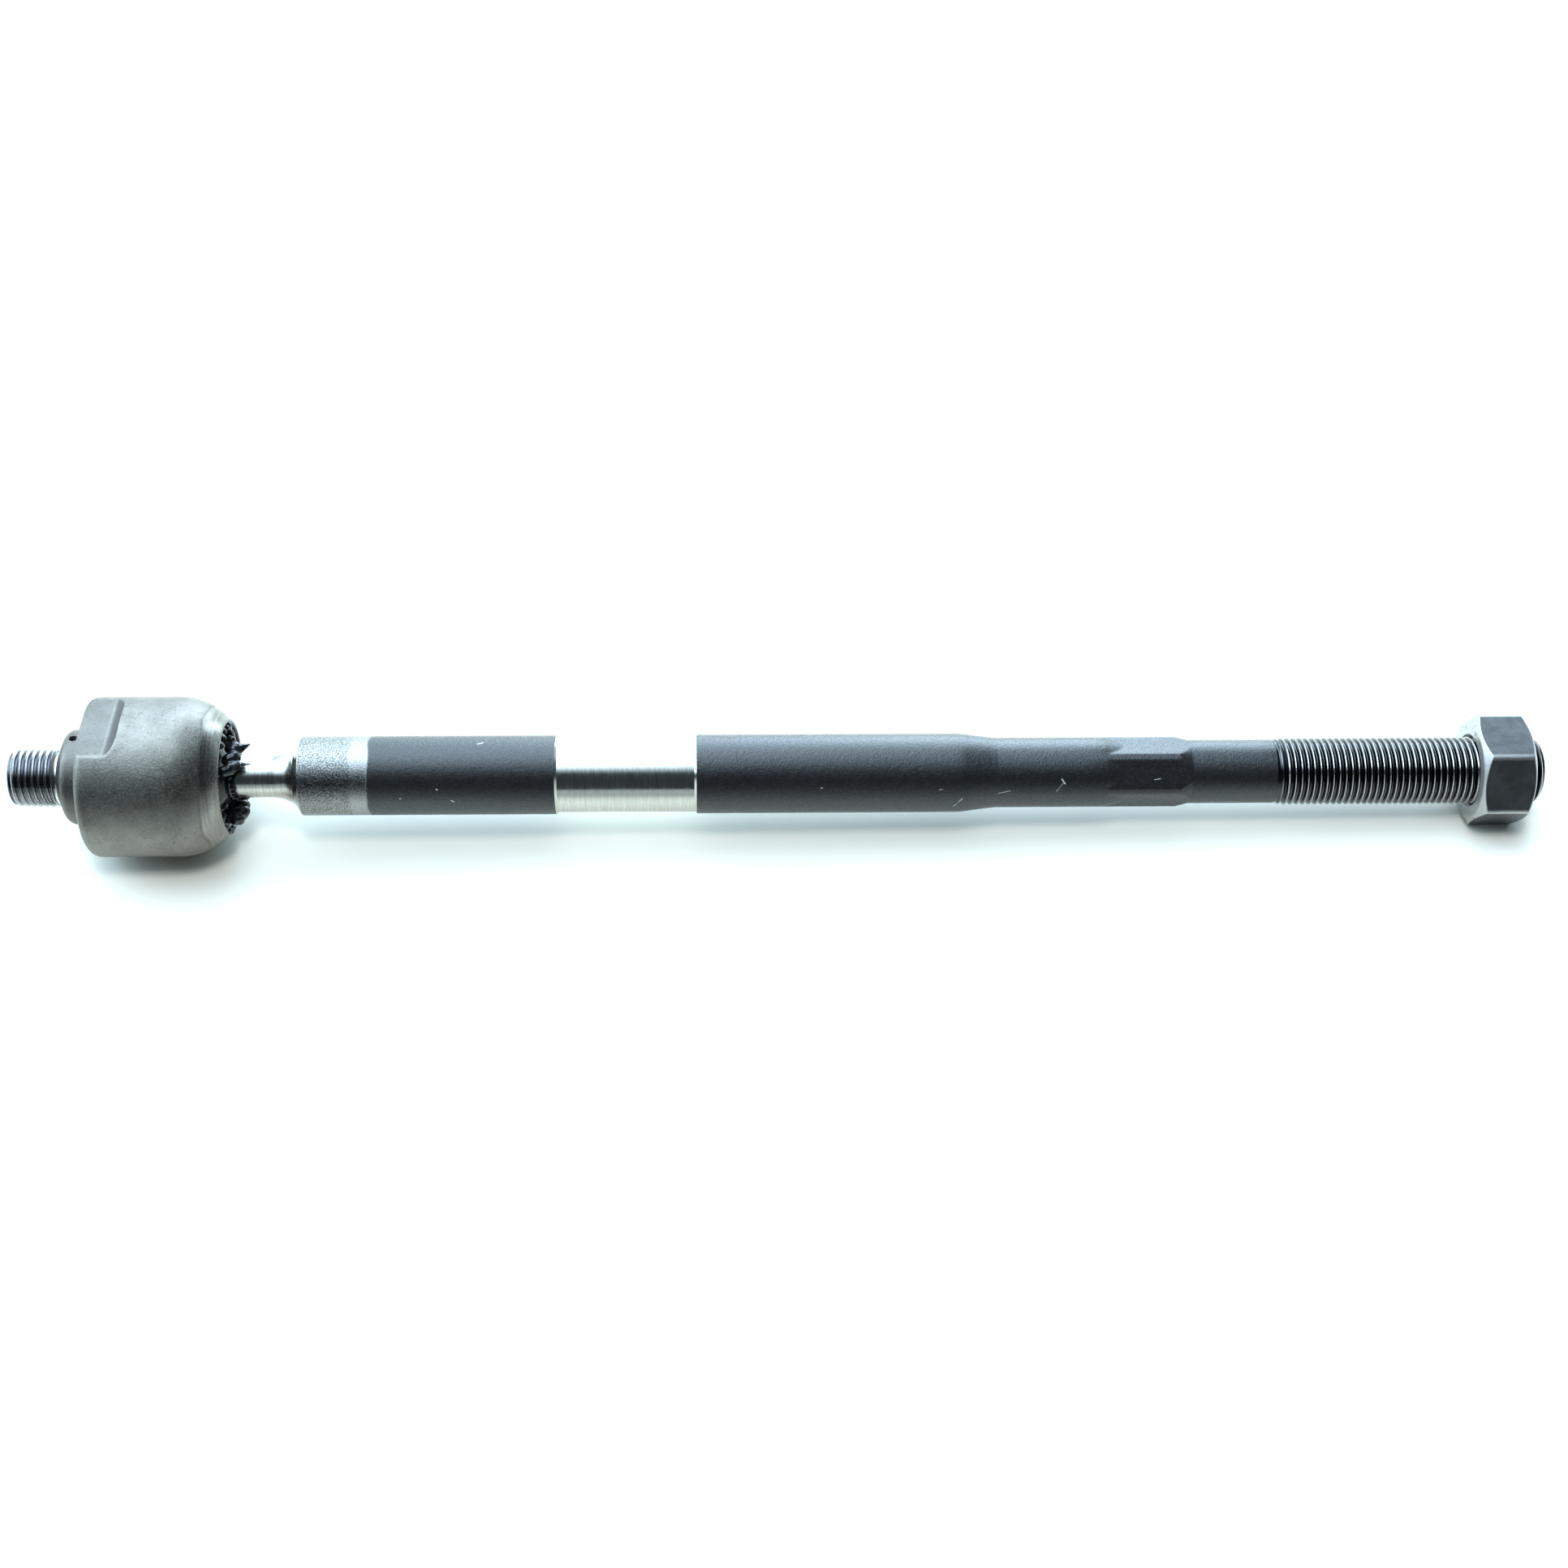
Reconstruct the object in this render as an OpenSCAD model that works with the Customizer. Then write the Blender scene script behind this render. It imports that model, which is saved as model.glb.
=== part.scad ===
// Inner tie rod: a steering link with a ball joint at the rack end and a threaded end with its jam nut.
// X runs along the rod towards the nut, Z is up, and X = 0 is where the rack stud meets its shoulder.

/* [Rack stud] */
// Thread diameter of the stud that screws into the steering rack
stud_d = 14; // [12:0.5:17]
// Length of the stud, from its shoulder to its tip
stud_len = 11.4; // [8:0.2:20]
// Chamfer at the stud's tip
stud_chamfer = 1; // [0.4:0.1:1.5]

/* [Shoulder boss] */
// Diameter of the boss between the stud and the housing
boss_d = 22.2; // [20.5:0.1:26]
// Slope of the boss's seating cone, from the axis
boss_slope = 62; // [45:1:75]
// Radius between the cone and the boss's round side
boss_round = 2; // [0.5:0.1:2.4]
// Length of the boss, from the shoulder to the housing's back face
boss_len = 7; // [6.5:0.1:12]
// Diameter of the drilled dimple in the boss
dimple_d = 1.7; // [1:0.1:2.2]
// Depth of the dimple
dimple_depth = 1.5; // [0.5:0.1:3]
// Distance of the dimple from the housing's back face
dimple_back = 3; // [1.5:0.1:3.2]
// Turn of the dimple away from straight up
dimple_turn = 12; // [-40:1:40]

/* [Socket housing] */
// Outside diameter of the housing
housing_d = 37.5; // [36.5:0.1:42]
// Length of the housing's straight side
barrel_len = 20.3; // [18.5:0.1:26]
// Radius round the housing's back edge
back_round = 2; // [0.5:0.1:3]
// Radius of the rim that is rolled over the ball seat
rim_r = 15; // [14.2:0.1:16.5]
// Wall of the housing round the ball seat
housing_wall = 3.55; // [3.3:0.05:4]
// Gap between the ball's widest radius and the radius of the mouth
mouth_gap = 0.15; // [0.05:0.05:0.5]
// Radius of the rim's lip
lip_r = 0.5; // [0.3:0.1:0.7]
// Depth of the two wrench flats, below the housing's round side
flat_depth = 2.75; // [1:0.05:3]
// Length of the wrench flats, from the back face
flat_len = 9.7; // [5:0.1:12]
// Radius of the cutter that leaves the flats' run-out
cutter_r = 3.2; // [1:0.1:5]
// Turn of the wrench flats away from straight up
flat_turn = 3; // [-30:1:30]

/* [Ball and seat] */
// Diameter of the flat at the back of the ball
ball_flat_d = 6; // [3:0.5:9]
// Distance from the ball's centre to the centre of the rim's lip
lip_ahead = 10.84; // [10.5:0.02:11]
// Wall of the plastic seat
seat_wall = 2.7; // [2.3:0.1:3]
// Angle from the axis at which the seat's lip ends
seat_reach = 56; // [55:1:60]
// Diameter of the flat bottom of the seat
seat_bottom_d = 16; // [10:0.5:20]
// Length of the cone between the seat's bottom and its side
seat_cone_len = 4.7; // [3:0.1:7]
// Number of slots that let the seat snap over the ball
slot_count = 6; // [3:1:8]
// Width of a slot
slot_w = 1.5; // [0.8:0.1:2.5]
// Diameter of the grease hole in the seat's bottom
feed_hole_d = 5; // [2:0.5:7]

/* [Neck and shaft] */
// Diameter of the neck
neck_d = 10; // [9:0.1:10.4]
// Fillet between the ball and the neck
neck_fillet = 1.2; // [0.6:0.1:1.2]
// Distance from the ball's centre to where the neck starts to flare
neck_len = 20.8; // [19:0.1:30]
// Radius of the neck's flare
flare_r = 10; // [7:0.5:12]
// Length of the flare
flare_len = 6; // [4:0.1:6.5]
// Length of the shaft's sloping end face
face_len = 1.6; // [0.8:0.1:3]
// Diameter of the shaft
shaft_d = 18.6; // [18:0.1:22]
// Length of the shaft, from its end face to the ground band
first_len = 59.4; // [30:0.2:120]
// Diameter of the ground band that the boot's small end grips
band_d = 17.7; // [17:0.1:17.9]
// Length of the ground band
band_len = 33.1; // [15:0.1:60]
// Length of each shoulder beside the ground band
band_step = 0.5; // [0.2:0.1:1.5]
// Length of the shaft, from the ground band to the taper
second_len = 61.6; // [20:0.2:120]
// Length of the taper
taper_len = 9.1; // [4:0.1:20]

/* [Adjusting hexagon] */
// Diameter of the round bar that the hexagon is pressed into
bar_d = 16.5; // [16.2:0.1:17]
// Length of the round bar between the taper and the hexagon
bar_len = 26.2; // [10:0.1:60]
// Width across the hexagon's flats
hex_af = 15; // [14.6:0.1:15.6]
// Length of the hexagon
hex_len = 17; // [10:0.1:30]
// Length of the sunk cone at the hexagon's start
runout_len = 3.9; // [2:0.1:6]
// Length of the cone from the hexagon down to the shank
hex_cone_len = 2.9; // [1.5:0.1:5]
// Turn of the hexagon about the rod
hex_turn = 17; // [0:1:59]

/* [Threaded end] */
// Diameter of the plain shank before the thread
shank_d = 15.06; // [14.6:0.02:15.4]
// Length of the plain shank
shank_len = 20.1; // [10:0.1:40]
// Outside diameter of the thread
thread_d = 16; // [15.6:0.1:16.6]
// Length of the thread
thread_len = 63.8; // [40:0.2:90]
// Pitch of the thread
thread_pitch = 1.5; // [1:0.25:2]
// Length over which the thread rises from the shank
thread_lead = 1.2; // [0.6:0.1:3]
// Chamfer at the rod's tip
tip_chamfer = 1.1; // [0.5:0.1:1.5]

/* [Jam nut] */
// Width across the nut's flats
nut_af = 24; // [22:0.5:27]
// Height of the nut
nut_h = 12.6; // [8:0.1:16]
// Distance from the nut's outer face to the rod's tip
nut_back = 3.5; // [2.5:0.1:8]
// Slope of the chamfer on the nut's corners
nut_slope = 30; // [20:1:35]
// Share of the width across flats that the nut's round face takes
nut_face_share = 0.95; // [0.9:0.01:0.99]
// Countersink on each side of the nut's hole, beyond the hole's radius
nut_sink = 0.7; // [0.3:0.1:1.2]

/* [Grease] */
// Thickness of the grease on the neck
collar_wall = 0.95; // [0.5:0.05:1]
// Length of the grease on the neck
collar_len = 1.8; // [1:0.1:1.8]
// Thickness of the grease inside the rim
rim_film = 0.3; // [0.2:0.05:0.35]
// Length of the grease inside the rim
rim_film_len = 2; // [1:0.1:2]
// Thickness of the lumps above and below the neck
lump_wall = 1; // [0.6:0.1:1]
// Length of the lumps
lump_len = 2.8; // [1.5:0.1:3]
// Angle that a lump takes round the neck
lump_angle = 30; // [16:1:30]

/* [Clearances] */
// Running clearance between the ball and its seat
ball_gap = 0.03; // [0.02:0.01:0.05]
// Clearance between the seat and the housing
seat_gap = 0.05; // [0.02:0.01:0.1]
// Running clearance between the nut and the thread
nut_gap = 0.05; // [0.02:0.01:0.09]
// Clearance between the grease and the metal beside it
grease_gap = 0.05; // [0.02:0.01:0.08]
// Clearance between the seat's lip and the grease inside the rim
film_gap = 0.4; // [0.3:0.05:0.5]
// Clearance between the lumps and the grease on the neck
lump_gap = 0.35; // [0.3:0.05:0.4]

/* [Hidden] */
$fn = 96;
arc_steps = 14;
over = 1;

stud_r = stud_d / 2;
boss_r = boss_d / 2;
housing_r = housing_d / 2;
cavity_r = housing_r - housing_wall;
ball_r = cavity_r - seat_wall;
mouth_r = ball_r + mouth_gap;
neck_r = neck_d / 2;
shaft_r = shaft_d / 2;
band_r = band_d / 2;
bar_r = bar_d / 2;
shank_r = shank_d / 2;
thread_r = thread_d / 2;

// Housing: the rim's arc is centred off the axis, and the lip's arc touches the rim and the mouth
barrel_end = boss_len + barrel_len;
rim_centre_r = housing_r - rim_r;
lip_centre_r = mouth_r + lip_r;
lip_centre_x = barrel_end + sqrt(pow(rim_r - lip_r, 2) - pow(lip_centre_r - rim_centre_r, 2));
lip_angle = atan2(lip_centre_r - rim_centre_r, lip_centre_x - barrel_end);
boss_round_x = boss_round * sin(boss_slope)
    + (boss_r - boss_round * (1 - cos(boss_slope)) - stud_r) / tan(boss_slope);

// Ball, seat and the bore that holds them
ball_x = lip_centre_x - lip_ahead;
cavity_back = ball_x - cavity_r;
seat_r = cavity_r - seat_gap;
seat_inner_r = ball_r + ball_gap;
fillet_x = sqrt(pow(ball_r + neck_fillet, 2) - pow(neck_r + neck_fillet, 2));
fillet_angle = atan2(neck_r + neck_fillet, fillet_x);

// Places along the rod, each from the one before
flare_x = ball_x + neck_len;
flare_end_x = flare_x + flare_len;
shaft_x = flare_end_x + face_len;
band_x = shaft_x + first_len;
band_end_x = band_x + band_len;
taper_x = band_end_x + second_len;
bar_x = taper_x + taper_len;
hex_x = bar_x + bar_len;
hex_end_x = hex_x + hex_len;
shank_x = hex_end_x + hex_cone_len;
thread_x = shank_x + shank_len;
tip_x = thread_x + thread_len;

// Thread: crests an eighth of the pitch wide, flanks at 60 degrees to each other
thread_root_r = thread_r - 0.6134 * thread_pitch;
thread_apex_r = thread_r + thread_pitch / 16 / tan(30);
flank_len = (thread_apex_r - thread_root_r) * tan(30);
ring_x = thread_x + thread_lead + thread_pitch / 16;
ring_count = ceil((tip_x - ring_x) / thread_pitch);

// Nut
nut_bore_r = thread_r + nut_gap;
nut_x = tip_x - nut_back - nut_h;
nut_face_r = nut_af / 2 * nut_face_share;
nut_corner_r = nut_af / 2 / cos(30);
nut_chamfer_len = (nut_corner_r - nut_face_r) * tan(nut_slope);

// Grease
collar_x = ball_x + fillet_x + grease_gap * 4;
collar_r = neck_r + collar_wall;
rim_film_x = ball_x + seat_r * cos(seat_reach) + film_gap;
lump_r = (collar_r + lump_gap) / cos(lump_angle / 2);

// An arc of an outline, as [radius, place along X]; its angles are counted from +X
function arc(x, r, radius, from, to) =
    [for (i = [0 : arc_steps]) let (a = from + (to - from) * i / arc_steps)
        [r + radius * sin(a), x + radius * cos(a)]];

// A turned solid: an outline of [radius, place along X] spun about the X axis
module turned(outline) {
    rotate([0, 90, 0]) rotate_extrude() polygon(outline);
}

// A plain cylinder along X
module bar(x, len, r) {
    translate([x, 0, 0]) rotate([0, 90, 0]) cylinder(r = r, h = len);
}

// A hexagonal bar along X, with two of its flats square to Y before it is turned
module hex_bar(x, len, af, turn) {
    translate([x, 0, 0]) rotate([turn, 0, 0]) rotate([0, 90, 0])
        linear_extrude(height = len) circle(d = af / cos(30), $fn = 6);
}

// One forging with its threaded stud, seating boss, wrench flats and rolled rim
module housing() {
    color("#8d8f8c") difference() {
        turned(concat(
            [[0, -stud_len], [stud_r - stud_chamfer, -stud_len], [stud_r, stud_chamfer - stud_len], [stud_r, 0]],
            arc(boss_round_x, boss_r - boss_round, boss_round, 90 + boss_slope, 90),
            [[boss_r, boss_len]],
            arc(boss_len + back_round, housing_r - back_round, back_round, 180, 90),
            arc(barrel_end, rim_centre_r, rim_r, 90, lip_angle),
            arc(lip_centre_x, lip_centre_r, lip_r, lip_angle, -90),
            [[mouth_r, ball_x], [0, ball_x]]
        ));
        seat_pocket();
        for (side = [0, 1]) rotate([180 * side - flat_turn, 0, 0]) wrench_flat();
        rotate([-dimple_turn, 0, 0])
            translate([boss_len - dimple_back, 0, boss_r - dimple_depth])
                cylinder(d = dimple_d, h = dimple_depth + over, $fn = 32);
    }
}

// The bore that takes the seat: flat bottom, cone, straight side and the sphere that the rim is rolled to
module seat_pocket() {
    turned([[0, cavity_back], [seat_bottom_d / 2, cavity_back],
        [cavity_r, cavity_back + seat_cone_len], [cavity_r, ball_x], [0, ball_x]]);
    translate([ball_x, 0, 0]) sphere(r = cavity_r);
}

// What the cutter takes away for one wrench flat
module wrench_flat() {
    flat_z = housing_r - flat_depth;
    cutter_x = boss_len + flat_len - cutter_r;
    translate([boss_len - over, -housing_r, flat_z])
        cube([cutter_x - boss_len + over, housing_d, housing_r]);
    translate([cutter_x, housing_r, flat_z + cutter_r])
        rotate([90, 0, 0]) cylinder(r = cutter_r, h = housing_d);
    translate([cutter_x - over, -housing_r, flat_z + cutter_r])
        cube([over + cutter_r, housing_d, housing_r]);
}

// Plastic cup round the ball, slotted so that it snaps over it
module ball_seat() {
    color("#e8e4d8") difference() {
        turned(concat(
            [[0, cavity_back + seat_gap], [seat_bottom_d / 2 - seat_gap, cavity_back + seat_gap],
             [seat_r, cavity_back + seat_cone_len]],
            arc(ball_x, 0, seat_r, 90, seat_reach),
            [[0, ball_x]]
        ));
        translate([ball_x, 0, 0]) sphere(r = seat_inner_r);
        bar(cavity_back - over, cavity_r, feed_hole_d / 2);
        for (i = [0 : slot_count - 1]) rotate([360 / slot_count * i, 0, 0])
            translate([ball_x - over, -slot_w / 2, 0]) cube([cavity_r, slot_w, cavity_r]);
    }
}

// The rod: ball, neck, shaft, ground band, taper, hexagon, shank and thread in one piece
module rod() {
    color("#4a4c4e") {
        difference() {
            translate([ball_x, 0, 0]) sphere(r = ball_r);
            bar(ball_x - ball_r - over, ball_r + over - sqrt(pow(ball_r, 2) - pow(ball_flat_d / 2, 2)), ball_r);
        }
        turned(concat(
            [[0, ball_x]],
            arc(ball_x + fillet_x, neck_r + neck_fillet, neck_fillet, 180 + fillet_angle, 270),
            arc(flare_x, neck_r + flare_r, flare_r, 270, 270 + asin(flare_len / flare_r)),
            [[shaft_r, shaft_x], [shaft_r, band_x], [band_r, band_x + band_step],
             [band_r, band_end_x - band_step], [shaft_r, band_end_x], [shaft_r, taper_x],
             [bar_r, bar_x], [bar_r, hex_x], [hex_af / 2, hex_x + runout_len], [0, hex_x + runout_len]]
        ));
        intersection() {
            hex_bar(hex_x, hex_len + hex_cone_len, hex_af, hex_turn);
            turned([[0, hex_x], [bar_r, hex_x], [bar_r, hex_end_x], [shank_r, shank_x], [0, shank_x]]);
        }
        intersection() {
            turned([[0, hex_end_x], [shank_r, shank_x], [shank_r, thread_x], [thread_r, thread_x + thread_lead],
                [thread_r, tip_x - tip_chamfer], [thread_r - tip_chamfer, tip_x], [0, tip_x]]);
            thread_rings();
        }
    }
}

// The thread's ridges, drawn as rings side by side; the rod's outline trims their sharp tops to crests
module thread_rings() {
    turned(concat(
        [[0, hex_x], [thread_apex_r, hex_x], [thread_apex_r, ring_x]],
        [for (i = [0 : ring_count - 1]) let (x = ring_x + i * thread_pitch)
            each [[thread_root_r, x + flank_len], [thread_root_r, x + thread_pitch - flank_len],
                [thread_apex_r, x + thread_pitch]]],
        [[0, ring_x + ring_count * thread_pitch]]
    ));
}

// Hexagon nut with chamfered corners and a countersink on both sides of its hole
module jam_nut() {
    corner_end = nut_x + nut_h;
    color("#5b5d60") difference() {
        intersection() {
            hex_bar(nut_x, nut_h, nut_af, 30);
            turned([[0, nut_x], [nut_face_r, nut_x], [nut_corner_r, nut_x + nut_chamfer_len],
                [nut_corner_r, corner_end - nut_chamfer_len], [nut_face_r, corner_end], [0, corner_end]]);
        }
        bar(nut_x - over, nut_h + 2 * over, nut_bore_r);
        turned([[0, nut_x - over], [nut_bore_r + nut_sink + over, nut_x - over], [nut_bore_r, nut_x + nut_sink],
            [nut_bore_r, corner_end - nut_sink], [nut_bore_r + nut_sink + over, corner_end + over],
            [0, corner_end + over]]);
    }
}

// Grease that clings to the neck and tilts with it
module grease_collar() {
    color("#1c1b1a") turned([[neck_r + grease_gap, collar_x], [collar_r, collar_x],
        [collar_r, collar_x + collar_len], [neck_r + grease_gap, collar_x + collar_len]]);
}

// A lump of grease that lies against the grease on the neck, on the side that it is turned to
module lump(turn) {
    rotate([turn, 0, 0]) rotate([0, 90, 0]) rotate([0, 0, 180 - lump_angle / 2])
        rotate_extrude(angle = lump_angle)
            polygon([[lump_r, collar_x], [lump_r + lump_wall, collar_x],
                [lump_r + lump_wall * 0.5, collar_x + lump_len], [lump_r, collar_x + lump_len]]);
}

// Grease above the neck
module grease_above() {
    color("#1c1b1a") lump(0);
}

// Grease below the neck
module grease_below() {
    color("#1c1b1a") lump(180);
}

// Grease pressed out against the inside of the rolled rim
module grease_rim() {
    film_r = mouth_r - grease_gap;
    color("#1c1b1a") turned([[film_r, rim_film_x], [film_r - rim_film, rim_film_x],
        [film_r - rim_film, rim_film_x + rim_film_len], [film_r, rim_film_x + rim_film_len]]);
}

housing();
ball_seat();
rod();
jam_nut();
grease_collar();
grease_above();
grease_below();
grease_rim();
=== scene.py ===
from math import asin, atan2, cos, pi, radians, sin, sqrt

import bmesh
import bpy
import numpy as np
from mathutils import Matrix, Vector


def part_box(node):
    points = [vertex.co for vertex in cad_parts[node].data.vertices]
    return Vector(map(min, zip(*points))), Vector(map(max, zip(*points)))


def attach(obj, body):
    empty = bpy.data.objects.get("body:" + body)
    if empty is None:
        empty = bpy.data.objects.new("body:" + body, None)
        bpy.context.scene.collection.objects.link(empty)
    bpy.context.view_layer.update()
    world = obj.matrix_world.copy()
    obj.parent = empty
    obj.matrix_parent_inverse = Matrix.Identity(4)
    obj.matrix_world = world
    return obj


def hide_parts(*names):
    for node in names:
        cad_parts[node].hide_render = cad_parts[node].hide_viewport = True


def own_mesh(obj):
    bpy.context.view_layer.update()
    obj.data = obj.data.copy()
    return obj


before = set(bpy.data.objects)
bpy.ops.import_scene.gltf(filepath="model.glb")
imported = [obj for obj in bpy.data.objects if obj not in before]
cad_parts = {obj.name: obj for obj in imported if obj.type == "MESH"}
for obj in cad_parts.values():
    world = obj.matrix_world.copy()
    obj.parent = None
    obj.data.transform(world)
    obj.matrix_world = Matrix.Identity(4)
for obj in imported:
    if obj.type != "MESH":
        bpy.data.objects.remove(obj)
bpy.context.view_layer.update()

# Camera
# It stands in front of the rod and above it, level with a point a little left of the rod's middle. Its lens
# and its small turns are those at which the part's outline falls as it does in the photo.
mm = 0.001
view_height = radians(47.35)
view_distance = 513 * mm
view_place = 152.48 * mm
view_turn = radians(1.85)
view_dip = radians(0.274)
view_roll = radians(0.30)
lens_mm = 49.673
film_width_mm = 36

towards = Vector((0, -cos(view_height), sin(view_height)))
upwards = Vector((0, sin(view_height), cos(view_height)))
forward = -towards * cos(view_dip) - upwards * sin(view_dip)
forward = (forward * cos(view_turn) + Vector((sin(view_turn), 0, 0))).normalized()
right = (Vector((1, 0, 0)) - forward * forward.x).normalized()
above = right.cross(forward)
right = right * cos(view_roll) - above * sin(view_roll)
above = right.cross(forward)

camera = bpy.data.objects.new("camera", bpy.data.cameras.new("camera"))
camera.data.lens = lens_mm
camera.data.sensor_width = film_width_mm
camera.data.clip_start = 10 * mm
camera.matrix_world = Matrix.Translation(Vector((view_place, 0, 0)) + towards * view_distance) @ Matrix(
    (right, above, -forward)).transposed().to_4x4()
bpy.context.collection.objects.link(camera)
bpy.context.scene.camera = camera
bpy.context.scene.view_settings.view_transform = "Standard"

# Light
# Daylight from a wide window high behind the rod, from a low one behind its right end with a small bright
# patch beyond it, and off the pale wall behind; the room in front is dark. A soft lamp over the front lights
# only what is matt.
high_window = 7.0
low_window = 9.8
bright_patch = 7.0
wall_share = 0.45
room_strength = 0.05
daylight = (0.76, 1.0, 1.20, 1)
plain_white = (1, 1, 1, 1)
lamp_size = 220 * mm
lamp_watts = 4.6
lamp_place = Vector((130, -350, 1090)) * mm
lamp_aim = Vector((150, 0, 0)) * mm


def add(tree, kind, inputs=None, **settings):
    """One node of a tree; inputs are given by name or number, as values or as the sockets that feed them."""
    made = tree.nodes.new(kind)
    for name, value in settings.items():
        setattr(made, name, value)
    for key, value in (inputs or {}).items():
        if isinstance(value, bpy.types.NodeSocket):
            tree.links.new(value, made.inputs[key])
        else:
            made.inputs[key].default_value = value
    return made


def calc(tree, operation, *values, clamp=False):
    """The result of one sum in a tree."""
    node = add(tree, "ShaderNodeMath", dict(enumerate(values)), operation=operation, use_clamp=clamp)
    return node.outputs[0]


def times(tree, product, *others):
    """The product of several values in a tree."""
    for value in others:
        product = calc(tree, "MULTIPLY", product, value)
    return product


def ramp(tree, value, low, high, to_low=0.0, to_high=1.0):
    """A soft step from to_low to to_high as the value goes from low to high."""
    return add(tree, "ShaderNodeMapRange", {0: value, 1: low, 2: high, 3: to_low, 4: to_high},
               interpolation_type="SMOOTHSTEP").outputs[0]


def blend(tree, share, first, second):
    """A colour between two others."""
    return add(tree, "ShaderNodeMix", {0: share, 6: first, 7: second}, data_type="RGBA").outputs[2]


world = bpy.data.worlds.new("studio")
bpy.context.scene.world = world
world.use_nodes = True
sky = world.node_tree
sky.nodes.clear()
direction = add(sky, "ShaderNodeTexCoord").outputs["Generated"]
side = add(sky, "ShaderNodeSeparateXYZ", {0: direction}).outputs
round_x = calc(sky, "DEGREES", calc(sky, "ARCTAN2", side["Z"], times(sky, side["Y"], -1)))
left_end = ramp(sky, side["X"], -0.36, -0.16, 0.35, 1.0)
left_wall = ramp(sky, side["X"], -0.38, -0.50, 0.0, 0.9)
high = times(sky, ramp(sky, round_x, 48, 108), ramp(sky, round_x, 122, 152, 1.0, wall_share),
             calc(sky, "MAXIMUM", left_end, left_wall),
             ramp(sky, side["X"], -0.10, 0.26, high_window, 0.01 * high_window))
low = times(sky, ramp(sky, round_x, 124, 150), ramp(sky, side["X"], -0.06, 0.12),
            ramp(sky, side["X"], 0.15, 0.26, low_window, 0.6 * low_window),
            ramp(sky, side["X"], 0.30, 0.42, 1.0, 0.15))
patch = times(sky, ramp(sky, side["X"], 0.44, 0.52), ramp(sky, side["X"], 0.66, 0.60),
              ramp(sky, round_x, 142, 152, 0.0, bright_patch))
glow = calc(sky, "ADD", calc(sky, "ADD", high, calc(sky, "ADD", low, patch)), room_strength)
seen = add(sky, "ShaderNodeLightPath").outputs["Is Camera Ray"]
strength = add(sky, "ShaderNodeMix", {0: seen, 2: glow, 3: 1.0}).outputs[0]
back = add(sky, "ShaderNodeBackground",
           {"Color": blend(sky, seen, daylight, plain_white), "Strength": strength})
add(sky, "ShaderNodeOutputWorld", {"Surface": back.outputs[0]})

front_lamp = bpy.data.objects.new("front_lamp", bpy.data.lights.new("front_lamp", "AREA"))
front_lamp.data.size = lamp_size
front_lamp.data.energy = lamp_watts
front_lamp.location = lamp_place
front_lamp.rotation_euler = (lamp_aim - lamp_place).to_track_quat("-Z", "Y").to_euler()
front_lamp.visible_glossy = False
bpy.context.collection.objects.link(front_lamp)

# Floor
# A plain pale table top, on which the housing's barrel and one flat of the nut rest. The camera sees it turn
# white away from the part. For every other ray its colour is painted darker towards the front, a painted
# shade for the dark room in front, and the steel mirrors that.
housing_low, housing_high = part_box("housing")
nut_low, nut_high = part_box("jam_nut")
rest_left = Vector((27.6 * mm, 0, housing_low.z))
rest_right = Vector((nut_low.x + 0.35 * mm, 0, nut_low.z))
floor_reach = 4.0
pale_top = (0.87, 0.84, 0.74, 1)
shaded_top = (0.27, 0.26, 0.24, 1)

slope = (rest_right.z - rest_left.z) / (rest_right.x - rest_left.x)
corners = [(x, y, rest_left.z + slope * (x - rest_left.x)) for x, y in
           ((-floor_reach, -floor_reach), (floor_reach, -floor_reach), (floor_reach, floor_reach),
            (-floor_reach, floor_reach))]
floor_mesh = bpy.data.meshes.new("floor")
floor_mesh.from_pydata(corners, [], [(0, 1, 2, 3)])
floor = bpy.data.objects.new("floor", floor_mesh)
bpy.context.collection.objects.link(floor)

floor_paint = bpy.data.materials.new("table_top")
floor_paint.use_nodes = True
table = floor_paint.node_tree
table.nodes.clear()
spread = add(table, "ShaderNodeSeparateXYZ", {0: add(table, "ShaderNodeTexCoord").outputs["Object"]}).outputs
by_camera = add(table, "ShaderNodeLightPath").outputs["Is Camera Ray"]
ahead = calc(table, "ADD", spread["Y"], ramp(table, spread["X"], 60 * mm, 130 * mm, 14 * mm, 0))
# Painted shade: the top turns darker towards the front for all rays but the camera's
shade = times(table, ramp(table, ahead, -8 * mm, -62 * mm), calc(table, "SUBTRACT", 1, by_camera))
top_colour = blend(table, shade, pale_top, shaded_top)
top = add(table, "ShaderNodeBsdfPrincipled",
          {"Base Color": top_colour, "Roughness": 0.7, "Specular IOR Level": 0.2})
behind = ramp(table, spread["Y"], 12 * mm, 26 * mm)
in_front = ramp(table, spread["Y"], -15 * mm, -45 * mm)
far = times(table, calc(table, "MAXIMUM", behind, in_front), by_camera)
white = add(table, "ShaderNodeEmission", {"Color": plain_white, "Strength": 1.0})
shown = add(table, "ShaderNodeMixShader", {0: far, 1: top.outputs[0], 2: white.outputs[0]})
add(table, "ShaderNodeOutputMaterial", {0: shown.outputs[0]})
floor_mesh.materials.append(floor_paint)

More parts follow.
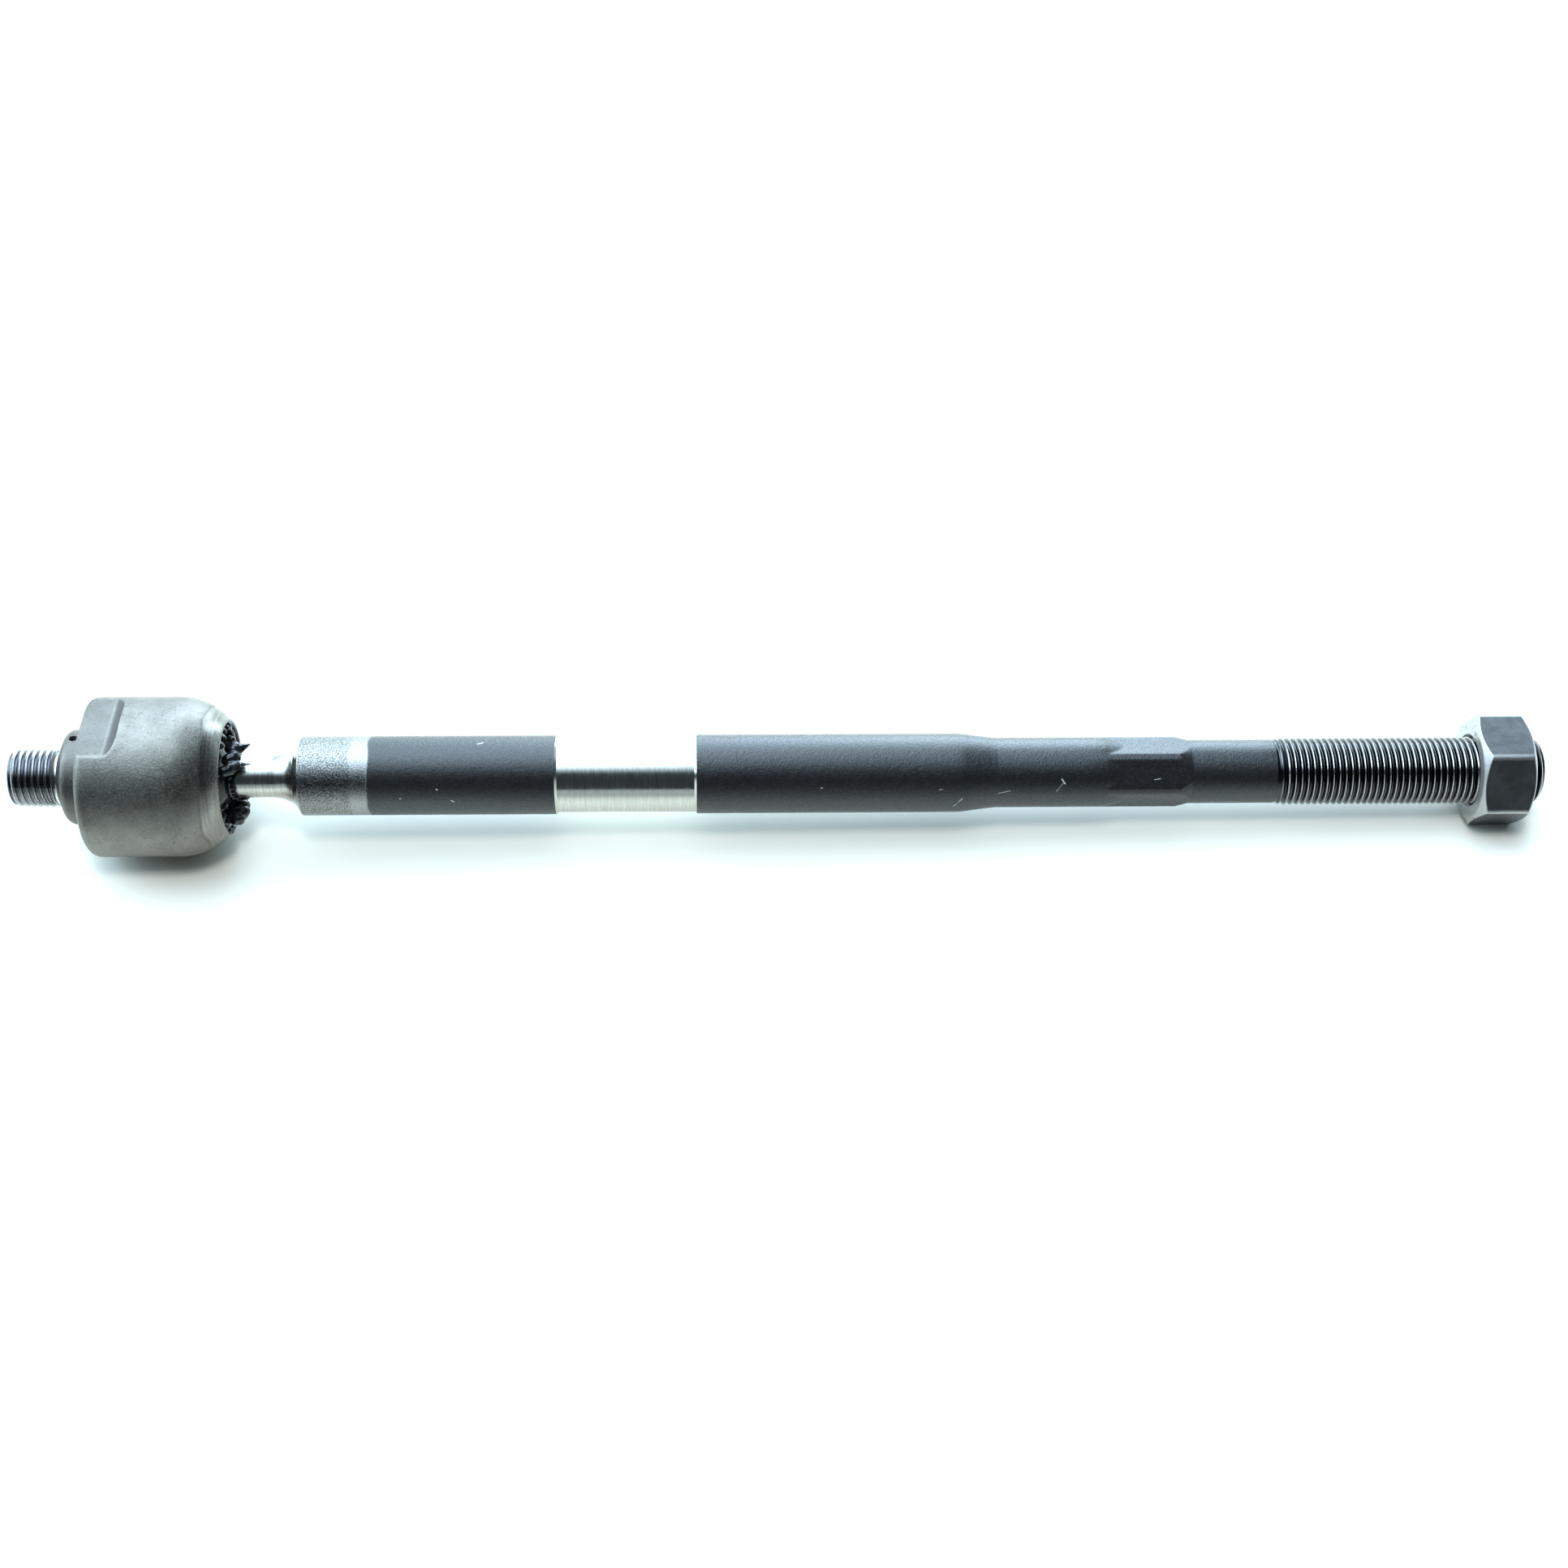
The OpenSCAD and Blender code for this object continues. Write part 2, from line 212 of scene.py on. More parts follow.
# Housing
# One steel forging: the stud that screws into the rack, its seating boss, a barrel with two milled wrench
# flats, and a rim that a roller has turned over the ball seat. It is left bare, and its thread is rolled.
stud_tip_x = housing_low.x / mm
barrel_r = housing_high.z / mm
mouth_x = housing_high.x / mm
stud_r = 7.0
stud_root_r = 6.15
stud_blank_r = stud_r - 0.3
stud_chamfer = 1.0
no_chamfer = -1.0
boss_r = 11.1
boss_slope = 62.0
boss_round = 2.0
back_x = 7.0
back_round = 2.0
barrel_end_x = 27.3
rolled_x = 34.9
rim_r = 15.0
lip_r = 0.5
mouth_r = 12.65
ball_x = 27.5
pocket_r = 15.2
pocket_floor_r = 8.0
pocket_cone = 4.7
flat_height = 16.0
flat_end_x = 16.7
flat_turn = radians(3)
cutter_r = 3.2
dimple_x = 4.0
dimple_angle = 78.0
dimple_r = 0.85
dimple_depth = 1.5
milled_edge = 0.18
thread_pitch = 1.5
housing_columns = 288
weld = 0.002 * mm
edge_angle = radians(38)
grease_black = (0.012, 0.012, 0.013, 1)


def bend(x, r, radius, start, stop, steps=10):
    """Points of an arc in an outline of (place along X, radius); its angles are counted from +X."""
    angles = [radians(start + (stop - start) * i / steps) for i in range(steps + 1)]
    return [(x + radius * cos(a), r + radius * sin(a)) for a in angles]


def run(start, stop, steps):
    """Points spaced evenly along a straight stretch of an outline."""
    first = np.array(start)
    whole = np.array(stop) - first
    return [tuple(first + whole * i / steps) for i in range(steps + 1)]


def soft_min(a, b, width):
    """The smaller of two radii, with the edge between them rounded."""
    share = np.maximum(width - np.abs(a - b), 0) / width
    return np.minimum(a, b) - share * share * width / 4


def spun(outline, columns, first_angle=0.0, cut=None):
    """The vertices and faces of an outline spun about X; cut(x, r, angle) gives the radius that is left."""
    x, r = (column[:, None] for column in np.array(outline).T)
    angle = (radians(first_angle) + np.arange(columns) * 2 * pi / columns)[None, :]
    x = x + 0 * angle
    r = r + 0 * angle
    if cut:
        r = cut(x, r, angle)
    points = np.stack((x, r * np.cos(angle), r * np.sin(angle)), axis=2).reshape(-1, 3) * mm
    here = np.arange(len(outline) * columns).reshape(-1, columns)
    beside = np.roll(here, -1, axis=1)
    faces = np.stack((here[:-1], beside[:-1], beside[1:], here[1:]), axis=2).reshape(-1, 4)
    return points, faces


def piece(name, parts, materials, zone=None):
    """One object welded from (points, faces) parts; zone(x) gives the material's number at a place on X."""
    work = bmesh.new()
    for points, faces in parts:
        made = [work.verts.new(p) for p in points]
        for face in faces:
            work.faces.new([made[i] for i in face])
    bmesh.ops.remove_doubles(work, verts=work.verts, dist=weld)
    bmesh.ops.dissolve_degenerate(work, edges=work.edges, dist=weld / 4)
    bmesh.ops.recalc_face_normals(work, faces=work.faces)
    mesh = bpy.data.meshes.new(name)
    work.to_mesh(mesh)
    work.free()
    for material in materials:
        mesh.materials.append(material)
    if zone:
        for face in mesh.polygons:
            face.material_index = zone(face.center.x / mm)
    mesh.shade_smooth()
    mesh.set_sharp_from_angle(angle=edge_angle)
    made = bpy.data.objects.new(name, mesh)
    bpy.context.collection.objects.link(made)
    return made


def thread_tree():
    """Geometry nodes that roll a right-handed thread: a grid laid along the helix and raised in ridges."""
    crest_edge = 0.04
    flank_foot = 0.40
    tree = bpy.data.node_groups.new("rolled_thread", "GeometryNodeTree")
    sizes = ["Start", "End", "Pitch", "Crest", "Root", "Blank", "Start Fade", "End Fade",
             "Start Chamfer", "End Chamfer", "First Angle"]
    for size in sizes:
        tree.interface.new_socket(name=size, in_out="INPUT", socket_type="NodeSocketFloat")
    for count in ("Rows In A Turn", "Rows", "Columns"):
        tree.interface.new_socket(name=count, in_out="INPUT", socket_type="NodeSocketInt")
    tree.interface.new_socket(name="Finish", in_out="INPUT", socket_type="NodeSocketMaterial")
    tree.interface.new_socket(name="Geometry", in_out="OUTPUT", socket_type="NodeSocketGeometry")
    given = add(tree, "NodeGroupInput").outputs

    grid = add(tree, "GeometryNodeMeshGrid", {"Size X": 1.0, "Size Y": 1.0, "Vertices X": given["Rows"],
               "Vertices Y": calc(tree, "ADD", given["Columns"], 1)})
    laid = add(tree, "ShaderNodeSeparateXYZ", {0: add(tree, "GeometryNodeInputPosition").outputs[0]}).outputs
    turn = calc(tree, "ADD", laid["Y"], 0.5)
    row = times(tree, calc(tree, "ADD", laid["X"], 0.5), calc(tree, "SUBTRACT", given["Rows"], 1))
    turns_on = calc(tree, "DIVIDE", row, given["Rows In A Turn"])
    turns_on = calc(tree, "ADD", turns_on, calc(tree, "SUBTRACT", turn, 1))
    place = calc(tree, "ADD", given["Start"], times(tree, turns_on, given["Pitch"]))
    place = calc(tree, "MINIMUM", calc(tree, "MAXIMUM", place, given["Start"]), given["End"])

    from_start = calc(tree, "SUBTRACT", place, given["Start"])
    from_end = calc(tree, "SUBTRACT", given["End"], place)
    turns_made = calc(tree, "DIVIDE", from_start, given["Pitch"])
    phase = calc(tree, "FRACT", calc(tree, "SUBTRACT", turns_made, turn))
    off_crest = calc(tree, "ABSOLUTE", calc(tree, "SUBTRACT", phase, 0.5))
    ridge = add(tree, "ShaderNodeMapRange", {0: off_crest, 1: flank_foot, 2: crest_edge, 3: 0.0, 4: 1.0},
                interpolation_type="LINEAR").outputs[0]
    height = times(tree, ridge, calc(tree, "SUBTRACT", given["Crest"], given["Root"]))
    radius = calc(tree, "ADD", given["Root"], height)
    grown = times(tree, calc(tree, "DIVIDE", from_start, given["Start Fade"], clamp=True),
                  calc(tree, "DIVIDE", from_end, given["End Fade"], clamp=True))
    raised = times(tree, grown, calc(tree, "SUBTRACT", radius, given["Blank"]))
    radius = calc(tree, "ADD", given["Blank"], raised)
    for chamfer, distance in (("Start Chamfer", from_start), ("End Chamfer", from_end)):
        limit = calc(tree, "ADD", calc(tree, "SUBTRACT", given["Crest"], given[chamfer]), distance)
        radius = calc(tree, "MINIMUM", radius, limit)

    angle = calc(tree, "ADD", given["First Angle"], times(tree, turn, 2 * pi))
    across = times(tree, radius, calc(tree, "COSINE", angle))
    up = times(tree, radius, calc(tree, "SINE", angle))
    moved = add(tree, "ShaderNodeCombineXYZ", {0: place, 1: across, 2: up}).outputs[0]
    bent = add(tree, "GeometryNodeSetPosition", {"Geometry": grid.outputs["Mesh"], "Position": moved})
    welded = add(tree, "GeometryNodeMergeByDistance", {"Geometry": bent.outputs[0], "Distance": weld})
    real = add(tree, "GeometryNodeRealizeInstances", {0: welded.outputs[0]})
    dressed = add(tree, "GeometryNodeSetMaterial", {"Geometry": real.outputs[0], "Material": given["Finish"]})
    add(tree, "NodeGroupOutput", {0: dressed.outputs[0]})
    return tree


def thread(tree, finish, columns, rows_in_a_turn, lengths, first_angle=0.0):
    """The points and faces of one thread, from its lengths in millimetres."""
    holder = bpy.data.objects.new("thread_blank", bpy.data.meshes.new("thread_blank"))
    bpy.context.collection.objects.link(holder)
    roller = holder.modifiers.new("thread", "NODES")
    roller.node_group = tree
    turns = (lengths["End"] - lengths["Start"]) / lengths["Pitch"] + 1
    values = {name: float(length * mm) for name, length in lengths.items()}
    values.update({"First Angle": radians(first_angle), "Rows In A Turn": rows_in_a_turn,
                   "Rows": int(turns * rows_in_a_turn) + 3, "Columns": columns, "Finish": finish})
    for socket in tree.interface.items_tree:
        if socket.in_out == "INPUT":
            roller[socket.identifier] = values[socket.name]
    graph = bpy.context.evaluated_depsgraph_get()
    mesh = bpy.data.meshes.new_from_object(holder.evaluated_get(graph))
    points = np.array([v.co for v in mesh.vertices])
    faces = [tuple(face.vertices) for face in mesh.polygons]
    bpy.data.objects.remove(holder)
    bpy.data.meshes.remove(mesh)
    return points, faces


def start_paint(name):
    """An empty material, its tree and the object's own coordinates, whole and apart."""
    material = bpy.data.materials.new(name)
    material.use_nodes = True
    material.node_tree.nodes.clear()
    where = add(material.node_tree, "ShaderNodeTexCoord").outputs["Object"]
    axes = add(material.node_tree, "ShaderNodeSeparateXYZ", {0: where}).outputs
    return material, material.node_tree, where, axes


def mottle(tree, where, size, detail=3.0, rough=0.5):
    """Noise whose lumps are about the given size in millimetres."""
    noise = {"Vector": where, "Scale": 1 / (size * mm), "Detail": detail, "Roughness": rough}
    return add(tree, "ShaderNodeTexNoise", noise).outputs["Fac"]


def rings(tree, axes, spacing, drift=0.03):
    """Noise that changes along X and hardly round it, as a turning tool's marks do."""
    drawn_out = {0: axes["X"], 1: times(tree, axes["Y"], drift), 2: times(tree, axes["Z"], drift)}
    return mottle(tree, add(tree, "ShaderNodeCombineXYZ", drawn_out).outputs[0], spacing, 4.0, 0.65)


def radius_of(tree, axes):
    """The distance from the rod's axis."""
    square = calc(tree, "ADD", times(tree, axes["Y"], axes["Y"]), times(tree, axes["Z"], axes["Z"]))
    return calc(tree, "SQRT", square)


def bumps(tree, *layers):
    """A normal bent by (height, depth in millimetres) layers."""
    normal = None
    for height, depth in layers:
        given = {"Height": height, "Distance": depth * mm, "Strength": 1.0}
        if normal:
            given["Normal"] = normal
        normal = add(tree, "ShaderNodeBump", given).outputs[0]
    return normal


def finish_paint(tree, colour, roughness, normal, metallic=1.0, **fixed):
    """The surface shader and the tree's output."""
    given = {"Base Color": colour, "Roughness": roughness, "Metallic": metallic}
    if normal:
        given["Normal"] = normal
    given.update({name.replace("_", " "): value for name, value in fixed.items()})
    shader = add(tree, "ShaderNodeBsdfPrincipled", given)
    add(tree, "ShaderNodeOutputMaterial", {0: shader.outputs[0]})


def on_bar(x, elevation, r):
    """The point at a place along X, an elevation counted from the front upwards, and a radius."""
    return Vector((x, -r * cos(radians(elevation)), r * sin(radians(elevation)))) * mm


def spot(tree, where, centre, inner, outer):
    """A soft round spot: 1 within the inner radius and 0 beyond the outer one, in millimetres."""
    away = add(tree, "ShaderNodeVectorMath", {0: where, 1: centre}, operation="DISTANCE").outputs["Value"]
    return ramp(tree, away, outer * mm, inner * mm)


def forged_steel():
    """Bare forging, shot and lightly stained, with painted shade on the boss, its seating cone, the
    run-out of the cutter and the dimple, and burnished on the rim by the roller."""
    material, tree, where, axes = start_paint("forged_steel")
    cloud = mottle(tree, where, 6.0, 5.0, 0.65)
    grain = mottle(tree, where, 0.42, 3.0, 0.6)
    pits = mottle(tree, where, 0.9, 3.0, 0.7)
    streak = rings(tree, axes, 0.5)
    around = radius_of(tree, axes)
    along = axes["X"]

    colour = blend(tree, ramp(tree, cloud, 0.32, 0.68), (0.195, 0.18, 0.155, 1), (0.265, 0.25, 0.22, 1))
    colour = blend(tree, ramp(tree, grain, 0.50, 0.70, 0.0, 0.5), colour, (0.42, 0.405, 0.37, 1))
    colour = blend(tree, ramp(tree, pits, 0.56, 0.72, 0.0, 0.65), colour, (0.09, 0.078, 0.062, 1))
    oil = times(tree, spot(tree, where, on_bar(31, 46, 18.5), 2.5, 8), ramp(tree, pits, 0.30, 0.62), 0.6)
    colour = blend(tree, oil, colour, (0.10, 0.085, 0.055, 1))

    # Painted shade: the boss is painted darker, and its seating cone darker still
    boss_side_shade = ramp(tree, along, 6.95 * mm, 6.7 * mm, 0.0, 0.45)
    boss_shade = ramp(tree, along, 2.3 * mm, 1.9 * mm, boss_side_shade, 0.85)
    colour = blend(tree, boss_shade, colour, (0.055, 0.05, 0.05, 1))
    # Painted shade in the concave run-out of the flats' cutter, which is also not metallic there
    run_out_shade = times(tree, ramp(tree, along, 13.4 * mm, 14.8 * mm), ramp(tree, around, 18.73 * mm, 18.4 * mm),
                    ramp(tree, along, 17.0 * mm, 16.6 * mm))
    colour = blend(tree, run_out_shade, colour, (0.045, 0.038, 0.032, 1))
    milled = times(tree, ramp(tree, along, 13.6 * mm, 13.2 * mm), ramp(tree, around, 18.7 * mm, 18.4 * mm),
                   ramp(tree, around, 11.6 * mm, 12 * mm), 0.45)
    colour = blend(tree, milled, colour, (0.10, 0.095, 0.09, 1))

    bow = mottle(tree, where, 7.0, 0.0)
    edge = calc(tree, "ADD", along, times(tree, calc(tree, "SUBTRACT", bow, 0.5), 1.5 * mm))
    rolled = ramp(tree, edge, rolled_x * mm, (rolled_x + 0.5) * mm)
    seam = times(tree, ramp(tree, edge, (rolled_x - 0.5) * mm, rolled_x * mm),
                 ramp(tree, edge, (rolled_x + 0.4) * mm, (rolled_x + 0.1) * mm), 0.4)
    burnish = blend(tree, ramp(tree, streak, 0.35, 0.65), (0.20, 0.185, 0.165, 1), (0.32, 0.305, 0.275, 1))
    colour = blend(tree, times(tree, rolled, 0.8), colour, burnish)
    colour = blend(tree, seam, colour, (0.10, 0.09, 0.07, 1))

    # The mouth's inside is black with grease; the dimple is painted black too, a painted shade in its hollow
    inside = times(tree, ramp(tree, around, 13.35 * mm, 13.1 * mm), ramp(tree, along, 30 * mm, 31 * mm))
    dimple_shade_centre = on_bar(dimple_x, 180 - dimple_angle, boss_r - 0.5)
    greasy = calc(tree, "MAXIMUM", inside, spot(tree, where, dimple_shade_centre, dimple_r + 0.1, dimple_r + 0.3))
    colour = blend(tree, greasy, colour, grease_black)
    roughness = calc(tree, "ADD", ramp(tree, grain, 0.3, 0.7, 0.42, 0.54), times(tree, rolled, -0.20))
    flesh = times(tree, grain, calc(tree, "SUBTRACT", 1.0, rolled))
    normal = bumps(tree, (flesh, 0.06), (cloud, 0.06), (times(tree, streak, rolled), 0.02))
    bare = calc(tree, "SUBTRACT", 1.0, calc(tree, "MAXIMUM", greasy, run_out_shade))
    finish_paint(tree, colour, roughness, normal, bare)
    return material


def rolled_thread_steel(name, crest, root, wear_and_sheen, groove_shade):
    """A rolled thread: bright where the dies burnished its crests, partly a painted highlight, and darker
    down the flanks as painted shade.
    """
    material, tree, where, axes = start_paint(name)
    grain = mottle(tree, where, 0.5, 3.0, 0.6)
    # Painted shade darkens the flanks into the roots; the crests' light colour is wear and painted highlight
    high = ramp(tree, radius_of(tree, axes), root * mm, crest * mm)
    colour = blend(tree, high, groove_shade, wear_and_sheen)
    colour = blend(tree, ramp(tree, grain, 0.50, 0.75, 0.0, 0.3), colour, groove_shade)
    finish_paint(tree, colour, ramp(tree, grain, 0.3, 0.7, 0.12, 0.22), bumps(tree, (grain, 0.01)))
    return material


def housing_cut(x, r, angle):
    """The housing's radius after the flats are milled and the dimple is drilled."""
    into = np.clip(x - (flat_end_x - cutter_r), 0, cutter_r)
    height = flat_height + cutter_r - np.sqrt(cutter_r ** 2 - into ** 2)
    height = np.where(x > flat_end_x, barrel_r + 9, height)
    limit = height / np.maximum(np.abs(np.sin(angle + flat_turn)), 0.2)
    milled = np.where((x >= back_x - 0.001) & (r > boss_r + 0.5), soft_min(r, limit, milled_edge), r)
    side = (angle - radians(dimple_angle)) * boss_r
    drilled = np.clip((dimple_r + 0.1 - np.sqrt((x - dimple_x) ** 2 + side ** 2)) / 0.25, 0, 1)
    return milled - dimple_depth * drilled * (np.abs(r - boss_r) < 0.01)


lip_r_centre = mouth_r + lip_r
rim_r_centre = barrel_r - rim_r
lip_x = mouth_x - lip_r
lip_angle = np.degrees(atan2(lip_r_centre - rim_r_centre, lip_x - barrel_end_x))
pocket_x = ball_x - pocket_r
boss_round_x = boss_round * sin(radians(boss_slope)) + (
    boss_r - boss_round * (1 - cos(radians(boss_slope))) - stud_r) / np.tan(radians(boss_slope))
seat_edge = asin(mouth_r / pocket_r)
housing_outline = (
    run((0, stud_blank_r), (0.15, stud_r), 2)
    + bend(boss_round_x, boss_r - boss_round, boss_round, 90 + boss_slope, 90)
    + run((boss_round_x + 0.1, boss_r), (back_x - 0.3, boss_r), 22)
    + bend(back_x - 0.3, boss_r + 0.3, 0.3, 270, 360, 4)
    + run((back_x, boss_r + 0.6), (back_x, barrel_r - back_round - 0.1), 8)
    + bend(back_x + back_round, barrel_r - back_round, back_round, 180, 90, 14)
    + run((back_x + back_round + 0.15, barrel_r), (flat_end_x + 0.3, barrel_r), 46)
    + run((flat_end_x + 1, barrel_r), (barrel_end_x, barrel_r), 12)
    + bend(barrel_end_x, rim_r_centre, rim_r, 90, lip_angle, 26)
    + bend(lip_x, lip_r_centre, lip_r, lip_angle, -90, 8)
    + bend(ball_x, 0, pocket_r, np.degrees(seat_edge), 90, 8)
    + [(pocket_x + pocket_cone, pocket_r), (pocket_x, pocket_floor_r), (pocket_x, 0)]
)
stud_steel = rolled_thread_steel("stud_thread_steel", 6.6, 6.3, (0.56, 0.55, 0.51, 1), (0.12, 0.12, 0.15, 1))
tree_of_threads = thread_tree()
stud_sizes = {"Start": stud_tip_x, "End": 0.0, "Pitch": thread_pitch, "Crest": stud_r, "Root": stud_root_r,
              "Blank": stud_blank_r, "Start Fade": 0.01, "End Fade": 1.2,
              "Start Chamfer": stud_chamfer, "End Chamfer": no_chamfer}
stud = thread(tree_of_threads, stud_steel, housing_columns, 10, stud_sizes)
stud_face = spun(run((stud_tip_x, 0), (stud_tip_x, stud_r - stud_chamfer), 3), housing_columns)
forging = spun(housing_outline, housing_columns, 0, housing_cut)
housing = piece("housing_forging", [stud_face, stud, forging], [forged_steel(), stud_steel],
                lambda x: 1 if x < 0 else 0)
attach(housing, "housing")
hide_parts("housing")

# Ball seat
# A moulded cup of natural plastic, slotted so that it snaps over the ball. The rolled rim keeps it in, and
# almost nothing of it shows, so the solid is kept as it is and gets its finish here.


def seat_plastic():
    """Natural acetal with faint flow marks and a skin of grease."""
    material, tree, where, axes = start_paint("seat_plastic")
    flow = mottle(tree, where, 4.0, 3.0)
    colour = blend(tree, ramp(tree, flow, 0.35, 0.7), (0.72, 0.69, 0.60, 1), (0.80, 0.78, 0.70, 1))
    normal = bumps(tree, (mottle(tree, where, 0.8, 2.0), 0.01))
    greasy = ramp(tree, axes["X"], 31 * mm, 33 * mm)
    colour = blend(tree, greasy, colour, grease_black)
    finish_paint(tree, colour, ramp(tree, greasy, 0.0, 1.0, 0.40, 0.16), normal, metallic=0.0)
    return material


seat_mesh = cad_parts["ball_seat"].data
seat_mesh.materials.clear()
seat_mesh.materials.append(seat_plastic())

# Rod
# One forged steel bar: ball and neck turned bright, a shaft in satin black with a band ground for the boot,
# a taper, a hexagon pressed in for adjusting, and a rolled thread. The shaft's first stretch was masked from
# the coat. The rod is held by its ball, which turns in the seat.
tip_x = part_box("rod")[1].x / mm
ball_r = 12.5
ball_flat_r = 3.0
neck_r = 5.0
neck_fillet = 1.2
flare_x = 48.3
flare_r = 10.0
flare_end_x = 54.3
shaft_x = 55.9
shaft_r = 9.3
coat_x = 72.0
band_x = 115.3
band_end_x = 148.4
band_r = 8.85
taper_x = 210.0
bar_x = 219.1
bar_r = 8.25
hex_x = 244.7
sunk_len = 4.4
hex_end_x = 262.3
hex_half = 7.5
hex_angle = 17.0
hex_edge = 0.1
shank_x = 265.2
shank_r = 7.53
thread_x = 285.3
thread_r = 8.0
thread_root_r = 7.12
tip_chamfer = 1.1
rod_columns = 144


def bright_steel(name, spacing, light, dark, low_rough, high_rough, depth, grease_x=0):
    """Turned or ground steel, with the tool's rings round it, and smeared with grease up to a ragged edge."""
    material, tree, where, axes = start_paint(name)
    marks = rings(tree, axes, spacing)
    colour = blend(tree, ramp(tree, marks, 0.35, 0.65), dark, light)
    wide = rings(tree, axes, spacing * 9, 0.2)
    roughness = ramp(tree, wide, 0.3, 0.7, low_rough, high_rough)
    ragged = calc(tree, "ADD", axes["X"], times(tree, mottle(tree, where, 2.5, 2.0), 2.4 * mm))
    greasy = ramp(tree, ragged, (grease_x + 1.4) * mm, (grease_x + 1.0) * mm)
    colour = blend(tree, greasy, colour, grease_black)
    bare = calc(tree, "SUBTRACT", 1.0, greasy)
    finish_paint(tree, colour, roughness, bumps(tree, (marks, depth)), bare)
    return material


def scratch(tree, where, start, stop, width):
    """A thin mark between two points: 1 along its middle and 0 beyond its width in millimetres."""
    along = (stop - start).normalized()
    rest = add(tree, "ShaderNodeVectorMath", {0: where, 1: start}, operation="SUBTRACT").outputs[0]
    reach = add(tree, "ShaderNodeVectorMath", {0: rest, 1: along}, operation="DOT_PRODUCT").outputs["Value"]
    reach = calc(tree, "MINIMUM", calc(tree, "MAXIMUM", reach, 0), (stop - start).length)
    foot = add(tree, "ShaderNodeVectorMath", {0: along, "Scale": reach}, operation="SCALE").outputs[0]
    away = add(tree, "ShaderNodeVectorMath", {0: rest, 1: foot}, operation="DISTANCE").outputs["Value"]
    return ramp(tree, away, width * mm, 0.4 * width * mm)


# Each mark's place along X and elevation where it starts and where it ends, its radius and its width
scratches = (
    (208.8, -10, 210.6, 6, 9.25, 0.20), (219.2, 11, 222.0, 16, 8.3, 0.12), (234.0, 36, 234.8, 28, 8.25, 0.20),
    (234.5, 30, 232.9, 15, 8.25, 0.11), (251.6, 38, 254.6, 44, 7.7, 0.13), (256.0, 33, 257.4, 35, 7.6, 0.10),
    (205.2, 22, 205.8, 23, 9.3, 0.10), (91.3, 8, 91.9, 6, 9.3, 0.22), (88.0, 27, 88.3, 26, 9.3, 0.16),
    (79.4, 12, 79.7, 12, 9.3, 0.14), (177.4, 26, 177.7, 26, 9.3, 0.13), (97.4, 99, 98.5, 102, 9.3, 0.25),
)


def shaft_finish():
    """Satin black coat with a fine orange peel and scratches, and bare speckled steel where it was masked."""
    material, tree, where, axes = start_paint("shaft_finish")
    peel = mottle(tree, where, 0.9, 2.0, 0.5)
    grain = mottle(tree, where, 0.29, 2.0, 0.7)
    bow = mottle(tree, where, 8.0, 1.0)
    ragged = calc(tree, "ADD", axes["X"], times(tree, calc(tree, "SUBTRACT", grain, 0.5), 0.9 * mm))
    ragged = calc(tree, "ADD", ragged, times(tree, calc(tree, "SUBTRACT", bow, 0.5), 2.0 * mm))
    coated = ramp(tree, ragged, (coat_x - 0.25) * mm, (coat_x + 0.25) * mm)
    thin = ramp(tree, ragged, (coat_x - 4.5) * mm, (coat_x - 3.5) * mm, 0.0, 0.45)
    bare = blend(tree, ramp(tree, grain, 0.38, 0.64), (0.09, 0.09, 0.09, 1), (0.40, 0.385, 0.36, 1))
    bare = blend(tree, thin, bare, (0.42, 0.41, 0.40, 1))
    black = blend(tree, ramp(tree, peel, 0.3, 0.75), (0.009, 0.009, 0.0095, 1), (0.014, 0.014, 0.015, 1))
    colour = blend(tree, coated, bare, black)
    marks = 0.0
    for x, elevation, end_x, end_elevation, r, width in scratches:
        mark = scratch(tree, where, on_bar(x, elevation, r), on_bar(end_x, end_elevation, r), width)
        marks = calc(tree, "MAXIMUM", mark, marks)
    marks = times(tree, marks, ramp(tree, grain, 0.30, 0.50, 0.4, 1.0))
    colour = blend(tree, marks, colour, (0.60, 0.62, 0.60, 1))
    roughness = add(tree, "ShaderNodeMix", {0: coated, 2: ramp(tree, grain, 0.3, 0.7, 0.16, 0.30),
                    3: ramp(tree, grain, 0.3, 0.7, 0.23, 0.35)}).outputs[0]
    height = add(tree, "ShaderNodeMix", {0: coated, 2: times(tree, grain, 1.2),
                 3: calc(tree, "ADD", grain, times(tree, peel, 0.8))}).outputs[0]
    metal = calc(tree, "SUBTRACT", 1.0, coated)
    finish_paint(tree, colour, roughness, bumps(tree, (height, 0.075)), metal, IOR=1.6)
    return material


def hexagon_at(angle, half, first_angle, width):
    """The radius of a hexagon whose corners are rounded over the given width."""
    turn = (np.degrees(angle) - first_angle + 30) % 60 - 30
    near = half / np.cos(np.radians(turn))
    beside = half / np.cos(np.radians(60 - np.abs(turn)))
    return soft_min(near, beside, width)


def rod_cut(x, r, angle):
    """The rod's radius after the hexagon is pressed, with its sunk cone at the start."""
    pressed = np.minimum(r, hexagon_at(angle, hex_half, hex_angle, hex_edge))
    cone = bar_r + (hex_half - bar_r) * np.clip((x - hex_x) / (sunk_end_x - hex_x), 0, 1)
    inside = (x >= hex_x) & (x <= shank_x)
    return np.where(inside, np.minimum(np.maximum(pressed, np.where(x <= sunk_end_x, cone, 0)), r), r)


